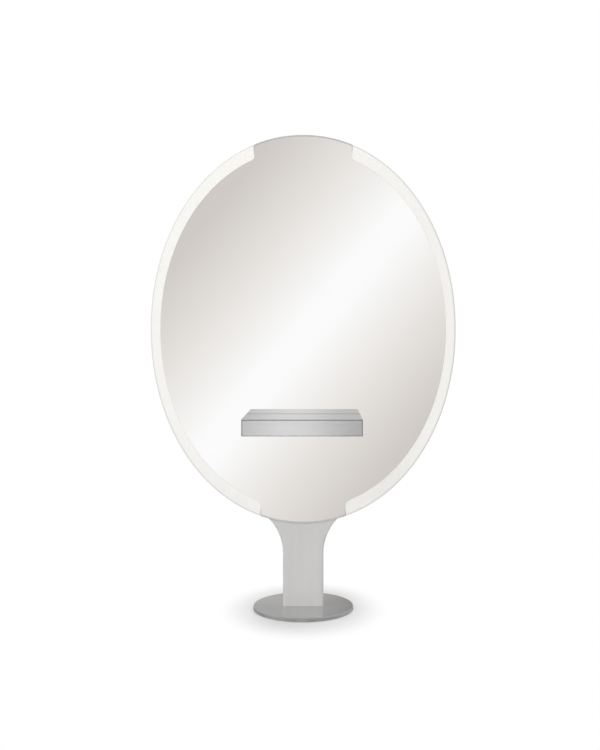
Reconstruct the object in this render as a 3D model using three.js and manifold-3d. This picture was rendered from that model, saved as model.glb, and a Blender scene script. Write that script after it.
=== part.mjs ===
// Double sided salon station: an oval mirror on each face of one slim body, lit along its two sides,
// on a flared pedestal with a round foot. A steel shelf box with a drawer stands out of each mirror.
// Millimetres, +Z up. The origin is on the floor under the pedestal, and the front mirror faces -Y.

import * as THREE from "three";
import { mergeVertices } from "three/addons/utils/BufferGeometryUtils.js";
import Module from "manifold-3d";

// Clearances
const FIT = 0.3; // between pieces that seat on one another
const GLASS_HOLE_ROOM = 3; // around a bolt that passes through glass
const LEAD_ROOM = 1.5; // around a wire in its hole
const DRAWER_GAP = 1.2; // the shadow line around a drawer front

// Oval body
const PEDESTAL_HEIGHT = 348; // floor to the lowest point of the oval
const OVAL_WIDTH = 1220;
const OVAL_HEIGHT = 1552;
const OVAL_FULLNESS = 2.04; // 2 is a true ellipse, more is fuller at the shoulders
const EDGE_ROUND = 5; // rounded outer edge of trims and lenses
const OVAL_STEPS = 96; // facets around an oval
const BAND_STEPS = 40; // facets along a light band

// Layers of the body, on each side of the post
const CROSSBAR = 6.6;
const BOARD = 4; // backing board that the mirror is bonded to
const GLASS = 5;
const GLASS_RECESS = 0.5; // the mirror lies this far behind the trims
const TRIM_FACE = 6; // metal edge that shows around the mirror
const TRIM_WEB = 3;

// Light bands: two opal lenses that wrap the left and right edges
const LIGHT_WIDTH_SIDE = 40; // where the oval is widest
const LIGHT_WIDTH_TOP = 57; // where the band's inner oval crosses the top
const LIGHT_END_TOP = 195; // the upper ends stop this far from the middle
const LIGHT_END_BOTTOM = 168;
const LIGHT_CORNER_TOP = 16;
const LIGHT_CORNER_BOTTOM = 30;
const LENS_WALL = 3;
const LENS_LIP = 8; // thicker strip that rests on the board
const LED_TAPE_WIDTH = 12;
const LED_TAPE = 1.6;
const LED_CHIP = 5;
const LED_CHIP_HEIGHT = 1.4;
const LED_END = 50; // from the end of the lens to the end of the tape
const LED_COUNT = 16; // on each side

// Frame inside the body
const FRAME_SETBACK = 6; // behind the inner edge of the light band
const FRAME_WIDTH = 25;
const SPLICE_WIDTH = 6;
const SPLICE_REACH = 80;
const CROSSBAR_HEIGHT = 40;
const UPPER_CROSSBAR_RISE = 922; // above the lowest point of the oval

// Pedestal
const POST_WIDTH = 80;
const POST_DEPTH = 30;
const POST_WALL = 3;
const POST_SPARE = 40; // above the upper crossbars
const STEM_WIDTH = 158;
const STEM_SETBACK = 6; // behind the face of the oval body
const STEM_SHEET = 2;
const STEM_EDGE_ROUND = 4;
const FLARE_DROP = 122; // from the lowest point of the oval to the straight sides
const FLARE_RADIUS = 200;
const FLARE_STEPS = 16;
const BRACKET = 4;
const LOWER_BRACKET_RISE = 55; // above the foot
const UPPER_BRACKET_DROP = 58; // below the oval

// Foot
const FOOT_DIAMETER = 400;
const FOOT_HEIGHT = 15;
const FOOT_SHEET = 2.5;
const FOOT_ROUND = 3;
const FOOT_STEPS = 72;
const PLATE_ROOM = 1; // between the plate's rim and its cover
const ANCHOR_INSET = 55; // from the foot's rim to the anchor holes
const ANCHOR_HOLE = 11;
const ANCHOR_SINK = 21;
const ANCHOR_COUNT = 4;
const GLAND_BORE = 9;
const GLAND_ROOM = 1.5; // between the gland's flange and the post
const GLAND_SHOULDER = 2.5;
const GLAND_FLANGE = 2;

// Shelf boxes
const SHELF_RISE = 437; // from the lowest point of the oval to the shelf's top
const SHELF_WIDTH = 455;
const SHELF_DEPTH = 265;
const SHELF_HEIGHT = 64;
const SHEET = 2;
const FINGER_REACH = 35; // from the front of the box to the far side of the slot in its floor
const BOLT_FROM_END = 77.5;
const BOLT = 8;
const BOLT_HEAD = 14;
const BOLT_HEAD_HEIGHT = 5.3;

// Drawers
const PAN_DEPTH = 12; // folded rim of the drawer front
const BOSS = 10; // posts that hold the front on the tray
const BOSS_FROM_END = 73.5;
const TRAY_SHEET = 1.5;
const TRAY_BACK = 55; // from the mirror to the tray
const TRAY_UNDER = 17; // from the underside of the box to the tray
const TRAY_TOP_GAP = 9; // from the top of the box to the tray's rim
const RUNNER_SPACE = 12.6; // from the wall of the box to the tray
const RUNNER_HEIGHT = 26;
const RUNNER_SHEET = 1.5;
const RUNNER_FLANGE = 8;
const RUNNER_BACK = 45; // from the mirror to the fixed runners
const RUNNER_FRONT_GAP = 8; // from the fixed runners to the drawer front
const RUNNER_BELOW_TOP = 15;

// Light switches, under the shelf boxes
const SWITCH_FROM_END = 57.5;
const SWITCH_OUT = 30; // from the mirror
const SWITCH_HEIGHT = 20;
const SWITCH_SIDE_WALL = 1.7;
const SWITCH_END_WALL = 2.9;
const BEZEL_RIM = 2;
const BEZEL = 2;
const ROCKER_LENGTH = 19;
const ROCKER_WIDTH = 9;
const ROCKER_ROOM = 1.1; // at the rocker's ends, for its swing
const ROCKER_TILT = 7;
const ROCKER_DEPTH = 6; // from the pivot to the cavity's end
const ROCKER_PIN = 2.4;
const PIN_REACH = 1.2;

// Power supply, on the lower crossbars
const DRIVER_GAP = 20; // from the post
const DRIVER_LENGTH = 180;
const DRIVER_REST = 3; // how far it lies on each crossbar
const DRIVER_HEIGHT = 30;
const LEAD = 5;
const SWITCH_LEAD = 6;
const SWITCH_LEAD_DROP = 13; // below the shelf's top
const SWITCH_LEAD_LIFT = 4; // above the lower crossbars
const CABLE_EXIT = 20; // hole in the side of the post

// Places that follow from the sizes
const HALF_FRAME = POST_DEPTH / 2 + FIT + CROSSBAR;
const BOARD_BACK = HALF_FRAME + FIT;
const BOARD_FRONT = BOARD_BACK + BOARD;
const GLASS_BACK = BOARD_FRONT + FIT;
const GLASS_FRONT = GLASS_BACK + GLASS;
const HALF_BODY = GLASS_FRONT + GLASS_RECESS;
const HALF_STEM = HALF_BODY - STEM_SETBACK;
const OUTER = { a: OVAL_WIDTH / 2, b: OVAL_HEIGHT / 2 };
const OVAL_Z = PEDESTAL_HEIGHT + OUTER.b;
const LIGHT_INNER = { a: OUTER.a - LIGHT_WIDTH_SIDE, b: OUTER.b - LIGHT_WIDTH_TOP };
const LIGHT_CORNERS = { top: LIGHT_CORNER_TOP, bottom: LIGHT_CORNER_BOTTOM };
const SHARP = { top: 0, bottom: 0 };
const FRAME_OUTER = inset(LIGHT_INNER, FRAME_SETBACK);
const FRAME_INNER = inset(FRAME_OUTER, FRAME_WIDTH);
const FLARE_START = PEDESTAL_HEIGHT - FLARE_DROP;
const UPPER_CROSSBAR_Z = PEDESTAL_HEIGHT + UPPER_CROSSBAR_RISE;
const POST_TOP = UPPER_CROSSBAR_Z + CROSSBAR_HEIGHT / 2 + POST_SPARE;
const PLATE = FOOT_HEIGHT - FOOT_SHEET - FIT;
const SHELF_TOP = PEDESTAL_HEIGHT + SHELF_RISE;
const SWITCH_LEAD_Z = SHELF_TOP - SWITCH_LEAD_DROP;
const CROSSBAR_TOP = SWITCH_LEAD_Z - SWITCH_LEAD / 2 - SWITCH_LEAD_LIFT;
const SHELF_BOLT_Z = CROSSBAR_TOP - CROSSBAR_HEIGHT / 2;
const BOLT_X = SHELF_WIDTH / 2 - BOLT_FROM_END;
const SWITCH_X = SHELF_WIDTH / 2 - SWITCH_FROM_END;
const ROCKER_SPACE = { x: ROCKER_LENGTH / 2 + ROCKER_ROOM, y: ROCKER_WIDTH / 2 + FIT };
const SWITCH_HALF = { x: ROCKER_SPACE.x + SWITCH_END_WALL, y: ROCKER_SPACE.y + SWITCH_SIDE_WALL };
const LEAD_Z = CROSSBAR_TOP + FIT + DRIVER_HEIGHT / 2;
const HALF_DRIVER = POST_DEPTH / 2 + DRIVER_REST;
const FAR = PEDESTAL_HEIGHT + OVAL_HEIGHT; // reaches past everything, for cuts

const FINISH = {
  brushedSteel: { color: 0xc4c4c4, roughness: 0.38, metalness: 1 },
  polishedSteel: { color: 0xb4b4b4, roughness: 0.12, metalness: 1 },
  silverLacquer: { color: 0xc4c3c1, roughness: 0.3, metalness: 0.2 },
  edgeMetal: { color: 0x9c9d9a, roughness: 0.3, metalness: 1 },
  mirror: { color: 0xf2f2f2, roughness: 0.02, metalness: 1 },
  opal: { color: 0xf4f3ef, roughness: 0.45, metalness: 0 },
  paintedSteel: { color: 0x55585a, roughness: 0.6, metalness: 0.4 },
  zincSteel: { color: 0xa9adb0, roughness: 0.4, metalness: 1 },
  board: { color: 0x8c6f4e, roughness: 0.85, metalness: 0 },
  circuit: { color: 0xf0efe6, roughness: 0.5, metalness: 0 },
  whitePlastic: { color: 0xe6e6e3, roughness: 0.5, metalness: 0 },
  blackPlastic: { color: 0x1d1e20, roughness: 0.45, metalness: 0 },
  wire: { color: 0xd8d8d6, roughness: 0.55, metalness: 0 },
};

const wasm = await Module();
wasm.setup();

// An oval whose two half axes are shorter by the same amount.
function inset(oval, amount) {
  return { a: oval.a - amount, b: oval.b - amount };
}

// A closed geometry as a solid that can be joined and cut.
function solidOf(geometry) {
  const bare = geometry.index ? geometry.toNonIndexed() : geometry.clone();
  bare.deleteAttribute("normal");
  bare.deleteAttribute("uv");
  const merged = mergeVertices(bare, 1e-4);
  const triangles = [];
  for (let i = 0; i < merged.index.count; i += 3) {
    const [p, q, r] = [0, 1, 2].map((k) => merged.index.getX(i + k));
    if (p !== q && q !== r && r !== p) triangles.push(p, q, r);
  }
  const mesh = new wasm.Mesh({
    numProp: 3,
    vertProperties: merged.attributes.position.array,
    triVerts: Uint32Array.from(triangles),
  });
  return new wasm.Manifold(mesh);
}

function geometryOf(solid) {
  const { vertProperties, triVerts } = solid.getMesh();
  const geometry = new THREE.BufferGeometry();
  geometry.setAttribute("position", new THREE.BufferAttribute(vertProperties, 3));
  geometry.setIndex(new THREE.BufferAttribute(triVerts, 1));
  geometry.computeVertexNormals();
  return geometry;
}

// A named piece with its own material.
function piece(name, solid, finish) {
  const mesh = new THREE.Mesh(geometryOf(solid), new THREE.MeshStandardMaterial(FINISH[finish]));
  mesh.name = name;
  return mesh;
}

function group(...children) {
  const made = new THREE.Group();
  made.add(...children);
  return made;
}

// A box between pairs of lowest and highest coordinates.
function block([x0, x1], [y0, y1], [z0, z1]) {
  const geometry = new THREE.BoxGeometry(x1 - x0, y1 - y0, z1 - z0);
  geometry.translate((x0 + x1) / 2, (y0 + y1) / 2, (z0 + z1) / 2);
  return solidOf(geometry);
}

const within = (half) => [-half, half];

// A round bar along X, Y or Z from one coordinate to another, through the given point.
function rod(axis, diameter, [from, to], [x, y, z], sides = 16) {
  const geometry = new THREE.CylinderGeometry(diameter / 2, diameter / 2, to - from, sides);
  if (axis === "x") geometry.rotateZ(-Math.PI / 2);
  if (axis === "z") geometry.rotateX(Math.PI / 2);
  const middle = { x, y, z, [axis]: (from + to) / 2 };
  geometry.translate(middle.x, middle.y, middle.z);
  return solidOf(geometry);
}

// A shape drawn in X and Z, given depth along Y.
function acrossDepth(shape, [front, back], round = 0) {
  const geometry = new THREE.ExtrudeGeometry(shape, {
    depth: back - front - 2 * round,
    bevelEnabled: round > 0,
    bevelThickness: round,
    bevelSize: round,
    bevelOffset: -round,
    bevelSegments: 2,
  });
  geometry.rotateX(Math.PI / 2);
  geometry.translate(0, back - round, 0);
  return solidOf(geometry);
}

// A shape turned around the Z axis, from its outline of radius and height.
function turned(outline, steps) {
  const points = outline.map(([radius, height]) => new THREE.Vector2(radius, height));
  const geometry = new THREE.LatheGeometry(points, steps);
  geometry.rotateX(Math.PI / 2);
  return solidOf(geometry);
}

// A round wire through a list of points.
function wire(points, diameter) {
  const SIDES = 8;
  const section = [];
  for (let i = 0; i < SIDES; i++) {
    const turn = (i / SIDES) * 2 * Math.PI;
    section.push([(Math.cos(turn) * diameter) / 2, (Math.sin(turn) * diameter) / 2]);
  }
  const path = new THREE.CatmullRomCurve3(points.map((p) => new THREE.Vector3(...p)));
  const steps = Math.ceil(path.getLength() / (2.5 * diameter));
  const options = { steps, extrudePath: path, bevelEnabled: false };
  return solidOf(new THREE.ExtrudeGeometry(outlineShape(section), options));
}

// A closed outline through a list of points.
function outlineShape(points) {
  return new THREE.Shape(points.map(([x, y]) => new THREE.Vector2(x, y)));
}

// A point on an oval. The angle 0 is on the right and a quarter turn is at the top.
function ovalPoint({ a, b }, angle) {
  const [across, up] = [Math.cos(angle), Math.sin(angle)];
  const power = 2 / OVAL_FULLNESS;
  return [a * Math.sign(across) * Math.abs(across) ** power, b * Math.sign(up) * Math.abs(up) ** power];
}

// The outward direction at a point of an oval.
function ovalNormal({ a, b }, [x, z]) {
  const across = (Math.sign(x) * Math.abs(x / a) ** (OVAL_FULLNESS - 1)) / a;
  const up = (Math.sign(z) * Math.abs(z / b) ** (OVAL_FULLNESS - 1)) / b;
  const size = Math.hypot(across, up);
  return [across / size, up / size];
}

// The angle of the oval's upper point at a distance from its upright axis.
const ovalAngle = ({ a }, x) => Math.acos((x / a) ** (OVAL_FULLNESS / 2));

// Half the oval's width at a height above or below its middle.
const ovalReach = ({ a, b }, z) => a * (1 - Math.abs(z / b) ** OVAL_FULLNESS) ** (1 / OVAL_FULLNESS);

function ovalShape(oval) {
  const points = [];
  for (let i = 0; i < OVAL_STEPS; i++) points.push(ovalPoint(oval, (i / OVAL_STEPS) * 2 * Math.PI));
  return outlineShape(points);
}

const ovalPrism = (oval, depth, round) => acrossDepth(ovalShape(oval), depth, round);

// The wall between two ovals.
function ovalRing(outer, inner, depth) {
  return ovalPrism(outer, depth).subtract(ovalPrism(inner, depth));
}

// Outline of a band between two ovals on the right side. Its upright ends stop at given distances
// from the middle, and its inner corners are rounded.
function bandShape({ outer, inner, top, bottom, corners }) {
  const upper = cornerFillet(inner, top, corners.top);
  const lower = cornerFillet(inner, bottom, corners.bottom);
  const points = [];
  const along = (oval, from, to) => {
    for (let i = 0; i <= BAND_STEPS; i++) {
      points.push(ovalPoint(oval, from + ((to - from) * i) / BAND_STEPS));
    }
  };
  along(outer, ovalAngle(outer, top), -ovalAngle(outer, bottom));
  points.push(...lower.arc.map(([x, z]) => [x, -z]).reverse());
  along(inner, -lower.angle, upper.angle);
  points.push(...upper.arc);
  const apart = points.filter(([x, z], i) => {
    const [px, pz] = points[(i + points.length - 1) % points.length];
    return Math.hypot(x - px, z - pz) > 1e-3;
  });
  return outlineShape(apart);
}

// The arc that rounds the upper corner between an oval and an upright line, on the oval's outside
// and to the right of the line, and the angle where it leaves the oval.
function cornerFillet(oval, line, radius) {
  const middle = (angle) => {
    const point = ovalPoint(oval, angle);
    const [nx, nz] = ovalNormal(oval, point);
    return [point[0] + radius * nx, point[1] + radius * nz];
  };
  let [low, high] = [0, Math.PI / 2];
  for (let i = 0; i < 50; i++) {
    const angle = (low + high) / 2;
    if (middle(angle)[0] > line + radius) low = angle;
    else high = angle;
  }
  const [x, z] = middle(low);
  const touch = ovalPoint(oval, low);
  const from = Math.atan2(touch[1] - z, touch[0] - x) + 2 * Math.PI;
  const STEPS = 6;
  const arc = [];
  for (let i = 0; i <= STEPS; i++) {
    const turn = from + ((Math.PI - from) * i) / STEPS;
    arc.push([x + radius * Math.cos(turn), z + radius * Math.sin(turn)]);
  }
  return { arc, angle: low };
}

// The same solid on the left.
const mirrored = (solid) => solid.mirror([1, 0, 0]);

// Foot: a steel floor plate under a polished cover
function foot() {
  const radius = FOOT_DIAMETER / 2;
  const rim = [];
  const RIM_STEPS = 3;
  for (let i = 0; i <= RIM_STEPS; i++) {
    const turn = (Math.PI / 2) * (1 - i / RIM_STEPS);
    const [across, up] = [Math.cos(turn), Math.sin(turn)];
    rim.push([radius - FOOT_ROUND * (1 - across), FOOT_HEIGHT - FOOT_ROUND * (1 - up)]);
  }
  const inside = radius - FOOT_SHEET;
  const ceiling = FOOT_HEIGHT - FOOT_SHEET;
  const dish = turned(
    [[0, ceiling], [inside, ceiling], [inside, 0], [radius, 0], ...rim.reverse(), [0, FOOT_HEIGHT]],
    FOOT_STEPS,
  );
  const postHole = block(within(POST_WIDTH / 2 + FIT), within(POST_DEPTH / 2 + FIT), [0, FOOT_HEIGHT * 2]);

  const flange = POST_DEPTH / 2 - POST_WALL - GLAND_ROOM;
  const glandHole = flange - GLAND_SHOULDER;
  let plate = rod("z", 2 * (inside - PLATE_ROOM), [0, PLATE], [0, 0, 0], FOOT_STEPS);
  plate = plate.subtract(rod("z", 2 * glandHole, [-PLATE, 2 * PLATE], [0, 0, 0]));
  const anchorRadius = radius - ANCHOR_INSET;
  const sinkDepth = (ANCHOR_SINK - ANCHOR_HOLE) / 2;
  for (let i = 0; i < ANCHOR_COUNT; i++) {
    const turn = ((i + 0.5) / ANCHOR_COUNT) * 2 * Math.PI;
    const [x, y] = [Math.cos(turn) * anchorRadius, Math.sin(turn) * anchorRadius];
    const hole = turned(
      [[0, -PLATE], [ANCHOR_HOLE / 2, -PLATE], [ANCHOR_HOLE / 2, PLATE - sinkDepth],
        [ANCHOR_SINK / 2, PLATE], [ANCHOR_SINK / 2, 2 * PLATE], [0, 2 * PLATE]],
      16,
    );
    plate = plate.subtract(hole.translate([x, y, 0]));
  }

  const bore = GLAND_BORE / 2;
  const neck = glandHole - FIT;
  const seat = PLATE + FIT;
  const glandTop = seat + GLAND_FLANGE;
  const gland = turned(
    [[bore, FIT], [neck, FIT], [neck, seat], [flange, seat],
      [flange, glandTop], [bore, glandTop], [bore, FIT]],
    24,
  );
  return group(
    piece("floor_plate", plate, "paintedSteel"),
    piece("base_cover", dish.subtract(postHole), "polishedSteel"),
    piece("cable_gland", gland, "blackPlastic"),
  );
}

// Half width of the pedestal at a height: straight sides, then a round flare.
const FLARE_RISE = 0.9 * FLARE_RADIUS; // the arc ends before it lies level
function stemHalfWidth(z) {
  const rise = Math.min(Math.max(0, z - FLARE_START), FLARE_RISE);
  return STEM_WIDTH / 2 + FLARE_RADIUS - Math.sqrt(FLARE_RADIUS ** 2 - rise ** 2);
}

// The pedestal's outline from a height up into the oval, narrowed on each side.
function stemShape(from, narrowed) {
  const heights = [from];
  for (let i = 0; i <= FLARE_STEPS; i++) heights.push(FLARE_START + (FLARE_RISE * i) / FLARE_STEPS);
  heights.push(OVAL_Z);
  const right = heights.map((z) => [stemHalfWidth(z) - narrowed, z]);
  const left = right.map(([x, z]) => [-x, z]).reverse();
  return outlineShape([...right, ...left]);
}

// Pedestal: a steel post inside two folded covers, which two brackets hold on the post
function pedestal() {
  const half = { x: POST_WIDTH / 2, y: POST_DEPTH / 2 };
  const post = block(within(half.x), within(half.y), [PLATE, POST_TOP])
    .subtract(block(within(half.x - POST_WALL), within(half.y - POST_WALL), [0, FAR]))
    .subtract(rod("x", CABLE_EXIT, [-POST_WIDTH, 0], [0, 0, LEAD_Z]));

  const bottom = FOOT_HEIGHT + FIT;
  const outside = acrossDepth(stemShape(-FOOT_HEIGHT, 0), within(HALF_STEM), STEM_EDGE_ROUND);
  const inside = acrossDepth(stemShape(-FOOT_HEIGHT, STEM_SHEET), within(HALF_STEM - STEM_SHEET));
  const saddle = ovalPrism(inset(OUTER, -FIT), within(2 * HALF_STEM)).translate([0, 0, OVAL_Z]);
  const shell = outside
    .subtract(inside)
    .subtract(saddle)
    .subtract(block(within(FAR), within(FAR), [-FAR, bottom]));
  const frontHalf = block(within(FAR), [-FAR, -FIT / 2], [0, FAR]);

  const bracket = (z) => {
    const halfWidth = stemHalfWidth(z - BRACKET) - STEM_SHEET - FIT;
    const halfDepth = HALF_STEM - STEM_SHEET - FIT;
    return block(within(halfWidth), within(halfDepth), [z - BRACKET, z])
      .subtract(block(within(half.x + FIT), within(half.y + FIT), [z - 2 * BRACKET, z + BRACKET]));
  };
  return group(
    piece("post_tube", post, "paintedSteel"),
    piece("stem_cover_front", shell.intersect(frontHalf), "silverLacquer"),
    piece("stem_cover_rear", shell.intersect(frontHalf.mirror([0, 1, 0])), "silverLacquer"),
    piece("stem_bracket_lower", bracket(FOOT_HEIGHT + LOWER_BRACKET_RISE), "zincSteel"),
    piece("stem_bracket_upper", bracket(PEDESTAL_HEIGHT - UPPER_BRACKET_DROP), "zincSteel"),
  );
}

// Everything below, up to the shelves, is drawn around the middle of the oval.

// The space of both light bands, widened on all sides but the outer one.
function lightSpaces(depth, room, lip, corners) {
  const right = acrossDepth(
    bandShape({
      outer: inset(OUTER, -LIGHT_WIDTH_TOP),
      inner: inset(LIGHT_INNER, room - lip),
      top: LIGHT_END_TOP - room,
      bottom: LIGHT_END_BOTTOM - room,
      corners: { top: corners.top + room, bottom: corners.bottom + room },
    }),
    depth,
  );
  return right.add(mirrored(right));
}

// Holes for the two bolts of a shelf, right through the body.
function boltHoles(diameter) {
  const hole = rod("y", diameter, within(2 * HALF_BODY), [BOLT_X, 0, SHELF_BOLT_Z - OVAL_Z]);
  return hole.add(mirrored(hole));
}

// The hole for the front switch's lead.
function switchLeadHole() {
  const diameter = SWITCH_LEAD + 2 * LEAD_ROOM;
  return rod("y", diameter, within(2 * HALF_BODY), [SWITCH_X, 0, SWITCH_LEAD_Z - OVAL_Z]);
}

// Frame: two half ovals, a splice at the top, and two pairs of crossbars on the post
function frame() {
  const depth = within(HALF_FRAME);
  const leadHole = rod("x", LEAD + 2 * LEAD_ROOM, [0, FAR], [0, 0, LEAD_Z - OVAL_Z]);
  const right = ovalRing(FRAME_OUTER, FRAME_INNER, depth)
    .subtract(block([-FAR, FIT / 2], within(FAR), within(FAR)))
    .subtract(block([-FAR, POST_WIDTH / 2 + FIT], within(FAR), [-FAR, 0]))
    .subtract(leadHole);
  const spliceOuter = inset(FRAME_INNER, FIT);
  const splice = ovalRing(spliceOuter, inset(spliceOuter, SPLICE_WIDTH), depth)
    .intersect(block(within(SPLICE_REACH), within(FAR), [0, FAR]));

  const insideFrame = ovalPrism(inset(FRAME_INNER, FIT), depth);
  const barDepth = [-HALF_FRAME, -POST_DEPTH / 2 - FIT];
  const crossbar = (z) =>
    block(within(OUTER.a), barDepth, [z - CROSSBAR_HEIGHT / 2, z + CROSSBAR_HEIGHT / 2])
      .intersect(insideFrame);
  const lower = crossbar(SHELF_BOLT_Z - OVAL_Z).subtract(boltHoles(BOLT + 2 * FIT));
  const upper = crossbar(UPPER_CROSSBAR_Z - OVAL_Z);
  return group(
    piece("frame_half_right", right, "paintedSteel"),
    piece("frame_half_left", mirrored(right), "paintedSteel"),
    piece("frame_splice", splice, "zincSteel"),
    piece("crossbar_lower_front", lower, "paintedSteel"),
    piece("crossbar_lower_rear", lower.mirror([0, 1, 0]), "paintedSteel"),
    piece("crossbar_upper_front", upper, "paintedSteel"),
    piece("crossbar_upper_rear", upper.mirror([0, 1, 0]), "paintedSteel"),
  );
}

// Skins of one face, drawn at the front: the mirror and the board behind it
function skins(side) {
  const boardDepth = [-BOARD_FRONT, -BOARD_BACK];
  const board = ovalPrism(inset(OUTER, TRIM_WEB + FIT), boardDepth)
    .subtract(lightSpaces(within(2 * HALF_BODY), FIT, LENS_LIP, SHARP))
    .subtract(boltHoles(BOLT + 2 * FIT))
    .subtract(switchLeadHole());
  const glass = ovalPrism(inset(OUTER, TRIM_FACE + FIT), [-GLASS_FRONT, -GLASS_BACK])
    .subtract(lightSpaces(within(2 * HALF_BODY), FIT, 0, LIGHT_CORNERS))
    .subtract(boltHoles(BOLT + 2 * GLASS_HOLE_ROOM))
    .subtract(switchLeadHole());
  return group(piece(`backing_board_${side}`, board, "board"), piece(`mirror_${side}`, glass, "mirror"));
}

// Edge trims: metal channels that close the body at the top and the bottom
function edgeTrims() {
  const ring = ovalPrism(OUTER, within(HALF_BODY), EDGE_ROUND)
    .subtract(ovalPrism(inset(OUTER, TRIM_FACE), within(2 * HALF_BODY)))
    .subtract(ovalPrism(inset(OUTER, TRIM_WEB), within(GLASS_BACK)));
  const top = ring.intersect(block(within(LIGHT_END_TOP - FIT), within(FAR), [0, FAR]));
  const bottom = ring
    .intersect(block(within(LIGHT_END_BOTTOM - FIT), within(FAR), [-FAR, 0]))
    .subtract(block(within(POST_WIDTH / 2 + FIT), within(POST_DEPTH / 2 + FIT), [-FAR, 0]));
  return group(piece("edge_trim_top", top, "edgeMetal"), piece("edge_trim_bottom", bottom, "edgeMetal"));
}

// Lights: an opal lens around each side edge, and a strip of LEDs on the frame inside it
function lights() {
  const ends = { top: LIGHT_END_TOP, bottom: LIGHT_END_BOTTOM };
  const band = acrossDepth(
    bandShape({ outer: inset(OUTER, -LENS_WALL), inner: LIGHT_INNER, ...ends, corners: LIGHT_CORNERS }),
    within(HALF_BODY),
  );
  const lipEdge = inset(LIGHT_INNER, -LENS_LIP);
  const behindLens = inset(LIGHT_INNER, LIGHT_WIDTH_TOP);
  const walled = {
    outer: inset(OUTER, LENS_WALL),
    top: ends.top + LENS_WALL,
    bottom: ends.bottom + LENS_WALL,
    corners: { top: LENS_WALL, bottom: LIGHT_CORNER_BOTTOM - LENS_LIP },
  };
  const cavity = acrossDepth(bandShape({ ...walled, inner: lipEdge }), within(HALF_BODY - LENS_WALL))
    .add(acrossDepth(bandShape({ ...walled, inner: behindLens }), within(GLASS_BACK)))
    .add(
      acrossDepth(
        bandShape({
          outer: lipEdge,
          inner: behindLens,
          top: ends.top - LENS_LIP,
          bottom: ends.bottom - LENS_LIP,
          corners: walled.corners,
        }),
        within(GLASS_BACK),
      ),
    );
  const lens = ovalPrism(OUTER, within(HALF_BODY), EDGE_ROUND).intersect(band).subtract(cavity);

  const tapeInner = inset(FRAME_OUTER, -FIT);
  const tapeOuter = inset(tapeInner, -LED_TAPE);
  let strip = ovalRing(tapeOuter, tapeInner, within(LED_TAPE_WIDTH / 2))
    .intersect(block([0, FAR], within(FAR), within(FAR)))
    .subtract(block([-FAR, ends.top + LED_END], within(FAR), [0, FAR]))
    .subtract(block([-FAR, ends.bottom + LED_END], within(FAR), [-FAR, 0]));
  const start = -ovalAngle(tapeOuter, ends.bottom + 2 * LED_END);
  const stop = ovalAngle(tapeOuter, ends.top + 2 * LED_END);
  for (let i = 0; i < LED_COUNT; i++) {
    const [x, z] = ovalPoint(tapeOuter, start + ((stop - start) * i) / (LED_COUNT - 1));
    const [across, up] = ovalNormal(tapeOuter, [x, z]);
    const chip = block([-LED_TAPE / 2, LED_CHIP_HEIGHT], within(LED_CHIP / 2), within(LED_CHIP / 2))
      .rotate([0, (-Math.atan2(up, across) * 180) / Math.PI, 0])
      .translate([x, 0, z]);
    strip = strip.add(chip);
  }
  return group(
    piece("light_lens_right", lens, "opal"),
    piece("light_lens_left", mirrored(lens), "opal"),
    piece("led_strip_right", strip, "circuit"),
    piece("led_strip_left", mirrored(strip), "circuit"),
  );
}

// Power supply: the driver and the junction box lie on the lower crossbars, each beside the post
function power() {
  const floor = CROSSBAR_TOP + FIT - OVAL_Z;
  const near = POST_WIDTH / 2 + DRIVER_GAP;
  const far = near + DRIVER_LENGTH;
  const box = block([near, far], within(HALF_DRIVER), [floor, floor + DRIVER_HEIGHT]);
  const z = LEAD_Z - OVAL_Z;
  const lead = rod("x", LEAD, [far + FIT, ovalReach(FRAME_OUTER, z) - LEAD / 2], [0, 0, z], 8);
  return group(
    piece("led_driver", box, "whitePlastic"),
    piece("junction_box", mirrored(box), "blackPlastic"),
    piece("led_lead_right", lead, "wire"),
    piece("led_lead_left", mirrored(lead), "wire"),
  );
}

// Shelves are drawn from the middle of their top edge on the mirror, with -Y away from the mirror.
const away = (near, far) => [-far, -near];

// Shelf box: a folded steel case, open at the front, on two bolts through the mirror. A slot in its floor,
// behind the drawer front, lets fingers pull the drawer.
function shelfCase(side) {
  const half = SHELF_WIDTH / 2;
  const floor = -SHELF_HEIGHT;
  const cutOut = block(
    [SWITCH_X - SWITCH_HALF.x - FIT, SWITCH_X + SWITCH_HALF.x + FIT],
    away(SWITCH_OUT - SWITCH_HALF.y - FIT, SWITCH_OUT + SWITCH_HALF.y + FIT),
    [floor - SHEET, floor + 2 * SHEET],
  );
  let box = block(within(half), away(FIT, SHELF_DEPTH), [floor, 0])
    .subtract(block(within(half - SHEET), away(FIT + SHEET, FAR), [floor + SHEET, -SHEET]))
    .subtract(
      block(
        within(half - SHEET), away(SHELF_DEPTH - FINGER_REACH, SHELF_DEPTH - PAN_DEPTH), [2 * floor, -SHEET],
      ),
    )
    .subtract(cutOut)
    .subtract(
      rod("y", SWITCH_LEAD + 2 * LEAD_ROOM, within(2 * SHEET), [SWITCH_X, 0, SWITCH_LEAD_Z - SHELF_TOP]),
    );
  const bolts = ["left", "right"].map((hand, i) => {
    const at = [i ? BOLT_X : -BOLT_X, 0, SHELF_BOLT_Z - SHELF_TOP];
    box = box.subtract(rod("y", BOLT + 2 * FIT, within(2 * SHEET), at));
    const underHead = 2 * FIT + SHEET;
    const tip = GLASS_FRONT - POST_DEPTH / 2 - 2 * FIT;
    const bolt = rod("y", BOLT, [-underHead - BOLT_HEAD_HEIGHT / 2, tip], at)
      .add(rod("y", BOLT_HEAD, away(underHead, underHead + BOLT_HEAD_HEIGHT), at, 6));
    return piece(`shelf_bolt_${side}_${hand}`, bolt, "zincSteel");
  });
  return [piece(`shelf_case_${side}`, box, "brushedSteel"), ...bolts];
}

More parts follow.
